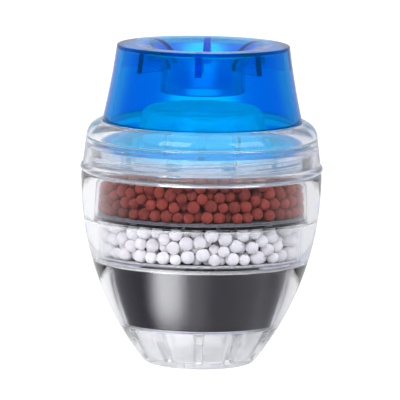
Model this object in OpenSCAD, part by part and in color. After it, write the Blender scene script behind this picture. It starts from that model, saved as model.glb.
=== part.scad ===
// Tap-end water filter: a clear screw-capped bowl that holds three stacked filter cups,
// with a soft blue sleeve on top that grips the spout of a tap.
// The part stands on its outlet rim. Origin: centre of that rim. +Z is up.

/* [Bowl] */
// Thickness of the bowl's wall at its widest
belly_wall = 2.45; // [2.2:0.05:3]
// Height of the widest point
belly_z = 36; // [34:0.5:37]
// How far the foot lies inside the lower cup's floor, where the side meets the table
foot_inset = 3.15; // [2.6:0.05:3.6]
// Height where the screw cap meets the bowl
seam_z = 37.3; // [36:0.1:38.5]
// Rounding of the outer edge of the foot
foot_edge_r = 0.8; // [0.3:0.1:1.5]
// Depth of the hollow under the foot
foot_recess = 0.6; // [0.3:0.1:1]
// Width of the flat ring that the foot stands on
foot_land_w = 1.55; // [1:0.05:2]
// Thickness of the bowl's floor
floor_t = 1.8; // [1.4:0.1:2.6]
// Wall of the outlet chamber under the cups
outlet_wall = 1.5; // [1:0.1:2]
// Wall of the neck that the cap screws over
neck_wall = 0.75; // [0.5:0.05:1]

/* [Outlet] */
// Number of ribs that stand in the outlet chamber
rib_count = 12; // [8:1:16]
// Width of a rib
rib_w = 1.3; // [0.8:0.1:2]
// How far a rib stands in from the outlet chamber's wall
rib_depth = 1.25; // [0.8:0.05:2]
// Diameter of a spray hole in the floor
spray_hole_d = 1.5; // [1:0.1:2]
// Distance between neighbouring spray holes
spray_pitch = 2.9; // [2.6:0.1:3.2]
// Rings of spray holes round the middle one
spray_rings = 2; // [1:1:2]

/* [Filter cups] */
// Wall of a cup
cup_wall = 0.65; // [0.5:0.05:0.9]
// Thickness of a cup's floor
cup_floor_t = 0.5; // [0.4:0.05:0.6]
// Gap between a cup and the bowl, all round
cup_gap = 0.1; // [0.05:0.05:0.3]
// Thickness of a cup's outward flange
cup_flange_t = 0.5; // [0.4:0.05:0.8]
// Underside of the lower cup
lower_z = 7.85; // [7:0.05:8.5]
// Underside of the middle cup
middle_z = 20.85; // [20.5:0.05:21]
// Underside of the upper cup
upper_z = 28.95; // [28.6:0.05:29.2]
// Height of the upper cup
upper_h = 9.45; // [9.4:0.05:10]
// Inside radius of the upper cup
upper_r = 20.1; // [17:0.1:24]
// Width of the bowl's ledge that the middle cup's flange sits on
middle_ledge_w = 0.7; // [0.5:0.05:0.9]
// How much the middle cup narrows from its rim to its floor, on the radius
middle_draft = 0.65; // [0.4:0.05:0.9]
// Width of the bowl's ledge that the lower cup's flange sits on
lower_ledge_w = 0.55; // [0.5:0.05:0.8]
// How much the lower cup narrows from its rim to its floor, on the radius
lower_draft = 4.5; // [4.2:0.1:4.8]
// Number of slots in a cup's floor
floor_slots = 12; // [8:1:16]
// Width of a slot in a cup's floor
floor_slot_w = 1.6; // [1:0.1:2]
// Radius where the floor slots start
floor_slot_r = 4.6; // [4.4:0.1:6]

/* [Filter media] */
// Thickness of a fleece pad
pad_t = 0.35; // [0.25:0.05:0.4]
// Thickness of a wire screen
screen_t = 0.15; // [0.1:0.05:0.2]
// Gap round a pad, a screen or the carbon in its cup
media_gap = 0.05; // [0.05:0.05:0.2]
// Diameter of a clay ball
clay_d = 2.1; // [1.8:0.05:2.1]
// Diameter of a mineral ball
mineral_d = 2.35; // [1.8:0.05:2.4]
// Gap between neighbouring balls
ball_gap = 0.04; // [0.03:0.01:0.1]
// Gap between the carbon and the cup above it
carbon_head = 0.4; // [0.2:0.1:1]

/* [Inlet cover] */
// Thickness of the cover's plate
cover_t = 1; // [0.8:0.1:1.4]
// Height of the notched wall that the sleeve's flange rests on
castle_h = 2.9; // [2.6:0.1:3.2]
// Thickness of that wall
castle_wall = 1.2; // [0.9:0.1:1.6]
// Number of notches in that wall
castle_count = 12; // [8:1:16]
// Width of a notch
castle_w = 3; // [2:0.1:4]
// Height of a notch
notch_h = 2.2; // [1.6:0.1:2.4]
// Height of the dome's flat top
dome_z = 50; // [48:0.1:51]
// Width of the flat ring between the dome's foot and the notched wall
cover_ring_w = 4.3; // [3.8:0.1:4.8]
// How much the dome narrows from its foot to its rounded edge, on the radius
dome_draft = 2.9; // [2.4:0.1:3.4]
// Rounding of the dome's top edge
dome_edge_r = 2; // [1:0.1:2.5]
// Wall of the dome
dome_wall = 1.1; // [0.8:0.1:1.4]
// Number of slots round the dome
dome_slots = 12; // [8:1:16]
// Width of a dome slot
dome_slot_w = 1.4; // [1:0.1:2]
// Height of a dome slot
dome_slot_h = 5; // [3:0.1:6]

/* [Sleeve] */
// Height of the sleeve above its flange's underside
sleeve_h = 19.7; // [18:0.1:21]
// How far the skirt lies inside the upper cup's bore, where it enters the cap's mouth
skirt_inset = 0.75; // [0.6:0.05:1.2]
// How much the skirt narrows from there to the rim, on the radius
skirt_taper = 2.65; // [2:0.05:3]
// How far the skirt's curve sags in at its middle
skirt_sag = 0.2; // [0.1:0.05:0.4]
// Wall of the skirt
skirt_wall = 1.4; // [1:0.1:1.8]
// Wall of the top and of the bell mouth
mouth_wall = 0.9; // [0.6:0.1:1.2]
// Width of the flat top, from the rim in to where it turns down into the bell mouth
flat_top_w = 3.3; // [2.6:0.1:4]
// Bore radius that the tap's spout stretches open
bore_r = 6.7; // [6:0.1:7.5]
// Wall of the inner sleeve
bore_wall = 1.5; // [1:0.1:2]
// Depth of the bell mouth, from the rim down to the straight bore
mouth_depth = 5.8; // [5:0.1:6.4]
// Length of the straight bore
bore_len = 3.5; // [3:0.1:4]
// How far the clamped flange stays inside the neck's outer face
flange_inset = 0.4; // [0.2:0.05:0.6]
// Thickness of the clamped flange
flange_t = 1.4; // [1.2:0.1:1.8]
// Bevel of the clamped flange's upper edge
flange_bevel = 0.3; // [0.1:0.1:0.5]
// Number of webs between the skirt and the bell mouth
web_count = 8; // [6:1:10]
// Thickness of a web
web_t = 1.3; // [0.8:0.1:1.6]
// Distance of a web's inner edge from the inner sleeve
web_inset = 0.8; // [0.5:0.1:1.5]
// Depth of a web below the rim, at the bell mouth
web_inner_depth = 3.7; // [3.2:0.1:4.4]
// Depth of a web below the rim, at the skirt
web_outer_depth = 4.7; // [4:0.1:6]
// Turn of the webs from the front, in degrees
web_turn = -3.4; // [-20:0.1:20]

/* [Screw cap] */
// Room for the thread between the bowl's neck and the cap
thread_room = 0.6; // [0.5:0.05:0.8]
// Rounding of the cap's shoulder
cap_shoulder_r = 3.2; // [2.6:0.1:3.4]
// Thickness of the cap's top
cap_top_t = 3.6; // [3.4:0.1:4]
// Gap between the sleeve's skirt and the hole in the cap's top
mouth_gap = 0.4; // [0.3:0.05:0.5]
// Wall of the cap's skirt over the thread
cap_wall = 0.8; // [0.6:0.05:0.9]
// Wall of the cap round the clamped flange
cap_upper_wall = 0.9; // [0.7:0.05:1]
// Gap between the clamped flange and the cap's wall
flange_gap = 0.3; // [0.2:0.05:0.4]
// Diameter of the bead at the cap's lower edge
bead_d = 1.8; // [1.2:0.1:2]
// How far the bead stands out of the cap
bead_out = 0.5; // [0.3:0.05:0.6]

/* [Hidden] */
$fn = 96;

// Levels of the stack, from the upper cup to the rim
cover_z = upper_z + upper_h;
castle_z = cover_z + cover_t;
flange_z = castle_z + castle_h;
cap_ledge_z = flange_z + flange_t;
cap_top_z = cap_ledge_z + cap_top_t;
rim_z = flange_z + sleeve_h;

// Inside radii of the cups, each one ledge in from the one above
middle_rim_r = upper_r - middle_ledge_w;
middle_floor_r = middle_rim_r - middle_draft;
lower_rim_r = middle_floor_r - lower_ledge_w;
lower_floor_r = lower_rim_r - lower_draft;

// Bores of the bowl that take the cups, one step for each cup
upper_bore_r = upper_r + cup_wall + cup_gap;
middle_bore_r = middle_rim_r + cup_wall + cup_gap;
middle_foot_bore_r = middle_floor_r + cup_wall + cup_gap;
lower_bore_r = lower_rim_r + cup_wall + cup_gap;
lower_foot_bore_r = lower_floor_r + cup_wall + cup_gap;
middle_ledge_z = upper_z - cup_flange_t;
lower_ledge_z = middle_z - cup_flange_t;
neck_r = upper_bore_r + neck_wall;
belly_r = upper_bore_r + belly_wall;

// The bowl's side: the arc through its widest point and the edge of its foot
foot_r = lower_floor_r - foot_inset;
side_depth = belly_r - foot_r;
side_curve_r = (pow(side_depth, 2) + pow(belly_z, 2)) / (2 * side_depth);
foot_recess_r = foot_r - foot_edge_r - foot_land_w;

// Radii of the sleeve and of the cap, outwards from the bore and the neck
skirt_foot_r = upper_r - skirt_inset;
rim_r = skirt_foot_r - skirt_taper;
mouth_r = rim_r - flat_top_w;
flange_r = neck_r - flange_inset;
cap_mouth_r = skirt_foot_r + mouth_gap;
cap_bore_r = neck_r + thread_room;
cap_r = cap_bore_r + cap_wall;
cap_upper_bore_r = flange_r + flange_gap;
cap_neck_r = cap_upper_bore_r + cap_upper_wall;

// Radii of the inlet cover, inwards from the upper cup
seat_r = upper_r - castle_wall;
dome_foot_r = seat_r - cover_ring_w;
dome_r = dome_foot_r - dome_draft;

// Levels of the media
clay_z = upper_z + cup_floor_t + screen_t + pad_t + ball_gap;
mineral_z = middle_z + cup_floor_t + screen_t + pad_t + ball_gap;
inlet_pad_z = cover_z - screen_t - pad_t;
carbon_z = lower_z + cup_floor_t + screen_t;

// Overlap that makes a cut run clean through a face
cut = 1;

// Centre of the circle through three points
function circle_centre(a, b, c) =
    let (d = 2 * (a[0] * (b[1] - c[1]) + b[0] * (c[1] - a[1]) + c[0] * (a[1] - b[1])),
         a2 = a * a,
         b2 = b * b,
         c2 = c * c)
    [(a2 * (b[1] - c[1]) + b2 * (c[1] - a[1]) + c2 * (a[1] - b[1])) / d,
     (a2 * (c[0] - b[0]) + b2 * (a[0] - c[0]) + c2 * (b[0] - a[0])) / d];

// Outside radius of the bowl at a height
function bowl_r(z) = belly_r - side_curve_r + sqrt(pow(side_curve_r, 2) - pow(z - belly_z, 2));

// Straight change of a radius between two heights
function taper(z, z0, r0, z1, r1) = r0 + (r1 - r0) * (z - z0) / (z1 - z0);

// Inside radius of each tapered cup at a height
function middle_cup_r(z) =
    taper(z, middle_z + cup_floor_t, middle_floor_r, middle_ledge_z, middle_rim_r);
function lower_cup_r(z) =
    taper(z, lower_z + cup_floor_t, lower_floor_r, lower_ledge_z, lower_rim_r);

// The half section of the bowl's outside: one arc, cut off at the foot and at the seam
module bowl_outline() {
    intersection() {
        translate([0, foot_edge_r]) square([belly_r + cut, seam_z - foot_edge_r]);
        translate([belly_r - side_curve_r, belly_z]) circle(side_curve_r, $fn = 360);
    }
    square([bowl_r(foot_edge_r) - foot_edge_r, foot_edge_r + cut]);
    translate([bowl_r(foot_edge_r) - foot_edge_r, foot_edge_r]) circle(foot_edge_r);
}

// The stepped space inside the bowl, with a ledge for each cup's flange
module bowl_bore_outline() {
    polygon([
        [0, floor_t],
        [bowl_r(floor_t) - outlet_wall, floor_t],
        [lower_foot_bore_r, lower_z],
        [lower_bore_r, lower_ledge_z],
        [middle_foot_bore_r, lower_ledge_z],
        [middle_foot_bore_r, middle_z],
        [middle_bore_r, middle_ledge_z],
        [upper_bore_r, middle_ledge_z],
        [upper_bore_r, flange_z + cut],
        [0, flange_z + cut]]);
}

// One rib of the outlet chamber, from its inner end out into the bowl's wall
module outlet_rib() {
    chamber_r = bowl_r(floor_t) - outlet_wall;
    rotate([90, 0, 0]) linear_extrude(rib_w, center = true) polygon([
        [chamber_r - rib_depth, floor_t - foot_recess],
        [chamber_r + outlet_wall / 2, floor_t - foot_recess],
        [lower_foot_bore_r + outlet_wall / 2, lower_z],
        [lower_foot_bore_r - 2 * rib_depth, lower_z]]);
}

// Round holes in rings of six, twelve and so on, round one in the middle
module spray_holes() {
    cylinder(h = floor_t + cut, d = spray_hole_d);
    for (ring = [1 : spray_rings], i = [0 : 6 * ring - 1])
        rotate(i * 60 / ring) translate([ring * spray_pitch, 0])
            cylinder(h = floor_t + cut, d = spray_hole_d);
}

module bowl() {
    color([0.93, 0.94, 0.97, 0.35]) difference() {
        union() {
            difference() {
                rotate_extrude() union() {
                    bowl_outline();
                    translate([0, seam_z - cut]) square([neck_r, flange_z - seam_z + cut]);
                }
                rotate_extrude() bowl_bore_outline();
            }
            for (i = [0 : rib_count - 1]) rotate(i * 360 / rib_count) outlet_rib();
        }
        translate([0, 0, -cut]) cylinder(h = foot_recess + cut, r = foot_recess_r);
        spray_holes();
    }
}

// A ring of slots with round ends, cut through a cup's floor that starts at height z
module floor_slots(z, outer_r) {
    for (i = [0 : floor_slots - 1])
        rotate((i + 0.5) * 360 / floor_slots)
            translate([0, 0, z - cut]) linear_extrude(cup_floor_t + 2 * cut) {
                translate([floor_slot_r, -floor_slot_w / 2])
                    square([outer_r - floor_slot_r, floor_slot_w]);
                translate([outer_r, 0]) circle(d = floor_slot_w, $fn = 32);
            }
}

// A cup: a floor with slots, a wall that may widen upwards, and a flange at the rim
module cup(z, floor_r, rim_z, rim_r, flange_r) {
    top = rim_z + cup_flange_t;
    difference() {
        rotate_extrude() polygon([
            [0, z],
            [floor_r + cup_wall, z],
            [rim_r + cup_wall, rim_z],
            [flange_r, rim_z],
            [flange_r, top],
            [rim_r, top],
            [rim_r, rim_z],
            [floor_r, z + cup_floor_t],
            [0, z + cup_floor_t]]);
        floor_slots(z, floor_r - floor_slot_w);
    }
}

module lower_cup() {
    color([0.93, 0.94, 0.97, 0.35])
        cup(lower_z, lower_floor_r, lower_ledge_z, lower_rim_r, middle_floor_r + cup_wall);
}

module middle_cup() {
    color([0.93, 0.94, 0.97, 0.35])
        cup(middle_z, middle_floor_r, middle_ledge_z, middle_rim_r, upper_r + cup_wall);
}

module upper_cup() {
    color([0.93, 0.94, 0.97, 0.35])
        cup(upper_z, upper_r, cover_z - cup_flange_t, upper_r, upper_r + cup_wall);
}

// A flat round disc that lies in a cup
module disc(z, r, t) {
    translate([0, 0, z]) cylinder(h = t, r = r - media_gap);
}

module lower_screen() {
    color("dimgray") disc(lower_z + cup_floor_t, lower_floor_r, screen_t);
}

module middle_screen() {
    color("dimgray") disc(middle_z + cup_floor_t, middle_floor_r, screen_t);
}

module middle_pad() {
    color("gray") disc(middle_z + cup_floor_t + screen_t, middle_floor_r, pad_t);
}

module upper_screen() {
    color("dimgray") disc(upper_z + cup_floor_t, upper_r, screen_t);
}

module upper_pad() {
    color("gray") disc(upper_z + cup_floor_t + screen_t, upper_r, pad_t);
}

module inlet_pad() {
    color("gray") disc(inlet_pad_z, upper_r, pad_t);
}

module inlet_screen() {
    color("dimgray") disc(cover_z - screen_t, upper_r, screen_t);
}

// The carbon fills the lower cup from its screen to just under the middle cup
module carbon_block() {
    top = middle_z - carbon_head;
    color([0.17, 0.17, 0.19]) rotate_extrude() polygon([
        [0, carbon_z],
        [lower_cup_r(carbon_z) - media_gap, carbon_z],
        [lower_rim_r - media_gap, lower_ledge_z],
        [lower_rim_r - media_gap, top],
        [0, top]]);
}

// Balls against the cup's wall, in as many rows as fit between z and top, and the rows nest:
// every second one is turned half a step. wall_r is the cup's inside radius at height z, and
// slope what it gains with each mm of height.
module ball_bed(z, top, d, wall_r, slope) {
    step = d + ball_gap;
    lane_r = wall_r + slope * d / 2 - media_gap - d / 2;
    count = floor(180 / asin(step / 2 / lane_r));
    nest_chord = 2 * lane_r * sin(90 / count);
    rise = sqrt(step * step - nest_chord * nest_chord);
    rows = 1 + floor((top - z - d) / rise);
    for (row = [0 : rows - 1], i = [0 : count - 1])
        rotate((i + row % 2 / 2) * 360 / count)
            translate([lane_r + slope * row * rise, 0, z + d / 2 + row * rise])
                sphere(d = d, $fn = 24);
}

module clay_balls() {
    color([0.66, 0.3, 0.23]) ball_bed(clay_z, inlet_pad_z, clay_d, upper_r, 0);
}

module mineral_balls() {
    slope = middle_cup_r(mineral_z + 1) - middle_cup_r(mineral_z);
    color([0.95, 0.94, 0.95])
        ball_bed(mineral_z, upper_z, mineral_d, middle_cup_r(mineral_z), slope);
}

// Half section of the inlet cover's dome, solid inside
module dome_outline(inset) {
    top = dome_z - inset;
    r = dome_r - inset;
    edge = dome_edge_r - inset / 2;
    polygon([
        [0, castle_z - cover_t - (inset > 0 ? cut : 0)],
        [dome_foot_r - inset, castle_z - cover_t - (inset > 0 ? cut : 0)],
        [dome_foot_r - inset, castle_z],
        [r, top - edge],
        for (i = [1 : 7]) [r - edge * (1 - cos(i * 90 / 8)), top - edge * (1 - sin(i * 90 / 8))],
        [r - edge, top],
        [0, top]]);
}

module inlet_cover() {
    outer_r = upper_r + cup_wall;
    color([0.9, 0.93, 0.96, 0.4]) difference() {
        union() {
            translate([0, 0, cover_z]) cylinder(h = cover_t, r = outer_r);
            translate([0, 0, castle_z]) difference() {
                cylinder(h = castle_h, r = upper_r);
                translate([0, 0, -cut]) cylinder(h = castle_h + 2 * cut, r = seat_r);
            }
            rotate_extrude() dome_outline(0);
        }
        rotate_extrude() dome_outline(dome_wall);
        for (i = [0 : castle_count - 1])
            rotate((i + 0.5) * 360 / castle_count)
                translate([seat_r - cut, -castle_w / 2, castle_z])
                    cube([castle_wall + 2 * cut, castle_w, notch_h]);
        for (i = [0 : dome_slots - 1])
            rotate(i * 360 / dome_slots)
                translate([dome_r - dome_edge_r - cut, -dome_slot_w / 2, castle_z + cover_t])
                    cube([dome_foot_r - dome_r + dome_edge_r + 2 * cut, dome_slot_w, dome_slot_h]);
    }
}

// Three points of the skirt's outer curve, and the circle through them
skirt_top = [rim_r, rim_z];
skirt_mid = [(rim_r + skirt_foot_r) / 2 - skirt_sag, (rim_z + cap_top_z) / 2];
skirt_foot = [skirt_foot_r, cap_top_z];
skirt_centre = circle_centre(skirt_top, skirt_mid, skirt_foot);
skirt_curve_r = norm(skirt_top - skirt_centre);

// Radius of the skirt at a height, on a curve that lies in by the given wall
function skirt_r(z, wall) =
    skirt_centre[0] - sqrt(pow(skirt_curve_r + wall, 2) - pow(z - skirt_centre[1], 2));

// Number of straight steps in each curve of the sleeve's section
curve_steps = 12;

// Half section of the tap sleeve: flange, skirt, flat top, bell mouth and straight bore
module sleeve_outline() {
    bore_foot = rim_z - mouth_depth - bore_len;
    under_r = bore_r + bore_wall;
    top_z = rim_z - mouth_wall;
    polygon([
        [skirt_foot_r - skirt_wall, flange_z],
        [flange_r, flange_z],
        [flange_r, cap_ledge_z - flange_bevel],
        [flange_r - flange_bevel, cap_ledge_z],
        [skirt_foot_r, cap_ledge_z],
        for (i = [0 : curve_steps])
            let (z = cap_top_z + (rim_z - mouth_wall / 2 - cap_top_z) * i / curve_steps)
            [skirt_r(z, 0), z],
        [rim_r - mouth_wall / 3, rim_z],
        [mouth_r, rim_z],
        for (i = [1 : curve_steps])
            let (a = i * 90 / curve_steps)
            [mouth_r - (mouth_r - bore_r) * sin(a), rim_z - mouth_depth * (1 - cos(a))],
        [bore_r, bore_foot],
        [under_r, bore_foot],
        for (i = [0 : curve_steps])
            let (a = 90 - i * 90 / curve_steps)
            [mouth_r - (mouth_r - under_r) * sin(a), top_z - (mouth_depth - mouth_wall) * (1 - cos(a))],
        for (i = [0 : curve_steps])
            let (z = top_z - (top_z - cap_top_z) * i / curve_steps)
            [skirt_r(z, skirt_wall), z]]);
}

// One web between the bell mouth and the skirt, hanging from the flat top
module web() {
    inner_r = bore_r + bore_wall + web_inset;
    outer_r = skirt_r(rim_z - web_outer_depth, skirt_wall / 2);
    rotate([90, 0, 0]) linear_extrude(web_t, center = true) difference() {
        polygon([
            [inner_r, rim_z - web_inner_depth],
            [outer_r, rim_z - web_outer_depth],
            [skirt_r(rim_z - mouth_wall, skirt_wall / 2), rim_z - mouth_wall / 2],
            [inner_r, rim_z - mouth_wall / 2]]);
        translate([bore_r, rim_z - mouth_depth]) mouth_cut_outline();
    }
}

// The space above the bell mouth's skin, that a web must not reach
module mouth_cut_outline() {
    w = mouth_r - bore_r;
    polygon([
        for (i = [0 : curve_steps])
            let (a = i * 90 / curve_steps)
            [w - w * sin(a), mouth_depth * cos(a) - mouth_wall / 2],
        [-cut, -mouth_wall / 2],
        [-cut, mouth_depth + cut],
        [w, mouth_depth + cut]]);
}

module tap_sleeve() {
    color([0.02, 0.42, 0.88, 0.75]) {
        rotate_extrude() sleeve_outline();
        for (i = [0 : web_count - 1])
            rotate(-90 + web_turn + i * 360 / web_count) web();
    }
}

// Half section of the cap: skirt with a bead, rounded shoulder and a thick top
module cap_outline() {
    shoulder = [cap_neck_r - cap_shoulder_r, cap_top_z - cap_shoulder_r];
    difference() {
        union() {
            polygon([
                [cap_mouth_r, seam_z],
                [cap_r, seam_z],
                [cap_r, seam_z + bead_d],
                [cap_neck_r, shoulder[1]],
                [cap_mouth_r, shoulder[1]]]);
            intersection() {
                translate(shoulder) circle(cap_shoulder_r);
                translate([cap_mouth_r, shoulder[1] - cut])
                    square([cap_shoulder_r + cut, cap_shoulder_r + 2 * cut]);
            }
            translate([cap_r + bead_out - bead_d / 2, seam_z + bead_d / 2]) circle(d = bead_d);
        }
        polygon([
            [0, seam_z - cut],
            [cap_bore_r, seam_z - cut],
            [cap_bore_r, flange_z],
            [cap_upper_bore_r, flange_z + flange_t / 2],
            [cap_upper_bore_r, cap_ledge_z],
            [0, cap_ledge_z]]);
    }
}

module screw_cap() {
    color([0.93, 0.94, 0.97, 0.35]) rotate_extrude() cap_outline();
}

bowl();
lower_cup();
carbon_block();
lower_screen();
middle_cup();
mineral_balls();
middle_pad();
middle_screen();
upper_cup();
clay_balls();
upper_pad();
upper_screen();
inlet_pad();
inlet_screen();
inlet_cover();
tap_sleeve();
screw_cap();
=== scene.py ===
"""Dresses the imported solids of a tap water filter: smooth clear plastic, packed balls, carbon and a soft sleeve.

Profiles are half sections in millimetres, as (radius, height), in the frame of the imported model.
"""

import math
from types import SimpleNamespace

import bmesh
import bpy
import numpy as np
from bpy.props import FloatProperty, FloatVectorProperty, IntProperty, PointerProperty
from bpy.types import Operator, Panel, PropertyGroup
from mathutils import Euler, Matrix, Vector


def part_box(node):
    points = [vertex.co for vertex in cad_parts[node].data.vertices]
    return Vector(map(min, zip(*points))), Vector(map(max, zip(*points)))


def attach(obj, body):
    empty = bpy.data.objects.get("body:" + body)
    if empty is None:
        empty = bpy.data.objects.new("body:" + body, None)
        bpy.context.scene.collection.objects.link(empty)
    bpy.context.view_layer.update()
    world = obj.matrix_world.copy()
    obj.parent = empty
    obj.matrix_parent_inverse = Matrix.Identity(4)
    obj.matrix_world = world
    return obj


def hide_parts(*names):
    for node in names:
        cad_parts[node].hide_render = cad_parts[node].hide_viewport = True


bl_info = {
    "name": "Tap water filter",
    "version": (1, 0, 0),
    "blender": (4, 5, 0),
    "location": "View3D > Sidebar > Tap filter",
    "description": "Clear shells, cups, ball beds, carbon and a soft blue sleeve around the packed filter",
    "category": "Add Mesh",
}

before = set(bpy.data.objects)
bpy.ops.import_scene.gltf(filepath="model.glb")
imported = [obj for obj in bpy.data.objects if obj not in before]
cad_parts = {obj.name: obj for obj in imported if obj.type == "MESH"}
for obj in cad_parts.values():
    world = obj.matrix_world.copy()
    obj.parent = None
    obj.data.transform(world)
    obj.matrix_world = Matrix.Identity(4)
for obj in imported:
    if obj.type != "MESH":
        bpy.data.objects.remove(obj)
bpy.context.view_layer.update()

MM = 0.001


def top_of(node):
    """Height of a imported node's highest point."""
    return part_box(node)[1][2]


def reach_of(node):
    """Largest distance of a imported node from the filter's axis."""
    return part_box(node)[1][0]


def length(name, description, mm):
    """A length property that is given in millimetres and kept in metres."""
    return FloatProperty(name=name, description=description, default=mm * MM, unit="LENGTH", precision=5)


def colour(name, description, rgb):
    """A colour property in linear light."""
    return FloatVectorProperty(name=name, description=description, default=rgb, size=3, subtype="COLOR")


class FilterSizes(PropertyGroup):
    belly_z: length("Belly height", "Height of the bowl's widest point", 36.0)
    belly_wall: length("Belly wall", "Thickness of the bowl's wall at its widest", 2.45)
    foot_inset: length("Foot inset", "How far the foot lies inside the lower cup's floor", 3.15)
    foot_edge_r: length("Foot edge", "Rounding of the foot's outer edge", 0.8)
    foot_land_w: length("Foot land", "Width of the flat ring that the foot stands on", 1.55)
    foot_recess: length("Foot recess", "Depth of the hollow under the foot", 0.6)
    floor_t: length("Floor", "Thickness of the bowl's floor", 1.8)
    outlet_wall: length("Outlet wall", "Wall of the outlet chamber", 1.5)
    neck_wall: length("Neck wall", "Wall of the neck that the cap screws over", 0.75)
    seam_z: length("Seam height", "Height where the cap meets the bowl", 37.3)
    rib_count: IntProperty(name="Ribs", description="Ribs in the outlet chamber", default=12, min=3)
    rib_w: length("Rib width", "Width of a rib in the outlet chamber", 1.3)
    rib_depth: length("Rib depth", "How far a rib stands in from the chamber's wall", 1.25)
    spray_hole_d: length("Spray hole", "Diameter of a hole in the bowl's floor", 1.5)
    spray_pitch: length("Spray pitch", "Distance between rings of spray holes", 2.9)
    spray_rings: IntProperty(name="Spray rings", description="Rings of spray holes", default=2, min=1)
    cup_wall: length("Cup wall", "Wall of a cup", 0.65)
    cup_floor_t: length("Cup floor", "Thickness of a cup's floor", 0.5)
    cup_gap: length("Cup gap", "Gap between a cup and the bowl", 0.1)
    cup_flange_t: length("Cup flange", "Thickness of a cup's flange", 0.5)
    lower_z: length("Lower cup", "Underside of the lower cup", 7.85)
    middle_z: length("Middle cup", "Underside of the middle cup", 20.85)
    upper_z: length("Upper cup", "Underside of the upper cup", 28.95)
    upper_h: length("Upper cup height", "Height of the upper cup", 9.45)
    upper_r: length("Upper cup radius", "Inside radius of the upper cup", 20.1)
    middle_ledge_w: length("Middle ledge", "Ledge under the middle cup's flange", 0.7)
    middle_draft: length("Middle draft", "How much the middle cup narrows to its floor", 0.65)
    lower_ledge_w: length("Lower ledge", "Ledge under the lower cup's flange", 0.55)
    lower_draft: length("Lower draft", "How much the lower cup narrows to its floor", 4.5)
    floor_slots: IntProperty(name="Floor slots", description="Slots in a cup's floor", default=12, min=3)
    floor_slot_w: length("Floor slot width", "Width of a slot in a cup's floor", 1.6)
    floor_slot_r: length("Floor slot start", "Radius where the floor slots start", 4.6)
    pad_t: length("Pad", "Thickness of a fleece pad", 0.35)
    screen_t: length("Screen", "Thickness of a screen", 0.15)
    media_gap: length("Media gap", "Gap round a pad, a screen or the carbon", 0.05)
    carbon_head: length("Carbon head", "Gap between the carbon and the cup above", 0.4)
    cover_t: length("Cover plate", "Thickness of the inlet cover's plate", 1.0)
    castle_h: length("Notched wall", "Height of the notched wall under the sleeve's flange", 2.9)
    castle_wall: length("Notched wall thickness", "Thickness of that wall", 1.2)
    castle_count: IntProperty(name="Notches", description="Notches in that wall", default=12, min=3)
    castle_w: length("Notch width", "Width of a notch", 3.0)
    notch_h: length("Notch height", "Height of a notch", 2.2)
    cover_ring_w: length("Cover ring", "Flat ring between the dome and the notched wall", 4.3)
    dome_z: length("Dome height", "Height of the dome's flat top", 50.0)
    dome_draft: length("Dome draft", "How much the dome narrows to its rounded edge", 2.9)
    dome_edge_r: length("Dome edge", "Rounding of the dome's top edge", 2.0)
    dome_wall: length("Dome wall", "Wall of the dome", 1.1)
    dome_slots: IntProperty(name="Dome slots", description="Slots round the dome", default=12, min=3)
    dome_slot_w: length("Dome slot width", "Width of a dome slot", 1.4)
    dome_slot_h: length("Dome slot height", "Height of a dome slot", 5.0)
    sleeve_h: length("Sleeve height", "Height of the sleeve above its flange's underside", 19.7)
    skirt_inset: length("Skirt inset", "How far the skirt lies inside the upper cup's bore", 0.75)
    skirt_taper: length("Skirt taper", "How much the skirt narrows to the rim", 2.65)
    skirt_sag: length("Skirt sag", "How far the skirt's curve sags in at its middle", 0.2)
    skirt_wall: length("Skirt wall", "Wall of the skirt", 1.4)
    mouth_wall: length("Mouth wall", "Wall of the top and of the bell mouth", 0.9)
    flat_top_w: length("Flat top", "Width of the flat top round the bell mouth", 3.3)
    bore_r: length("Bore radius", "Bore that the tap's spout stretches open", 6.7)
    bore_wall: length("Bore wall", "Wall of the inner sleeve", 1.5)
    mouth_depth: length("Mouth depth", "Depth of the bell mouth", 5.8)
    bore_len: length("Bore length", "Length of the straight bore", 3.5)
    flange_inset: length("Flange inset", "How far the flange stays inside the neck's outer face", 0.4)
    flange_t: length("Flange", "Thickness of the clamped flange", 1.4)
    flange_bevel: length("Flange bevel", "Bevel of the flange's upper edge", 0.3)
    web_count: IntProperty(name="Webs", description="Webs under the sleeve's flat top", default=8, min=3)
    web_t: length("Web", "Thickness of a web", 1.3)
    web_inset: length("Web inset", "Distance of a web from the inner sleeve", 0.8)
    web_inner_depth: length("Web depth inside", "Depth of a web at the bell mouth", 3.7)
    web_outer_depth: length("Web depth outside", "Depth of a web at the skirt", 4.7)
    web_turn: FloatProperty(name="Web turn", description="Turn of the webs from the front",
                            default=math.radians(-3.4), subtype="ANGLE")
    thread_room: length("Thread room", "Room for the thread between neck and cap", 0.6)
    thread_h: length("Thread height", "How far a thread ridge stands out of its wall", 0.35)
    thread_lead: length("Thread lead", "Rise of the thread in one turn", 4.0)
    cap_shoulder_r: length("Cap shoulder", "Rounding of the cap's shoulder", 3.2)
    cap_top_t: length("Cap top", "Thickness of the cap's top", 3.6)
    mouth_gap: length("Cap mouth gap", "Gap between the skirt and the cap's hole", 0.4)
    cap_wall: length("Cap wall", "Wall of the cap's skirt", 0.8)
    cap_upper_wall: length("Cap upper wall", "Wall of the cap round the flange", 0.9)
    flange_gap: length("Flange gap", "Gap between the flange and the cap", 0.3)
    bead_d: length("Bead", "Diameter of the bead at the cap's lower edge", 1.8)
    bead_out: length("Bead reach", "How far the bead stands out of the cap", 0.5)
    clay_d: length("Clay ball", "Mean diameter of a clay ball", 2.1)
    clay_balls: IntProperty(name="Clay balls", description="Balls in the upper cup", default=540, min=1)
    mineral_d: length("Mineral ball", "Mean diameter of a mineral ball", 2.35)
    mineral_balls: IntProperty(name="Mineral balls", description="Balls in the middle cup", default=345, min=1)
    bed_w: length("Bed width", "Width of the ring of balls that lies against a cup's wall", 6.0)


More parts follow.
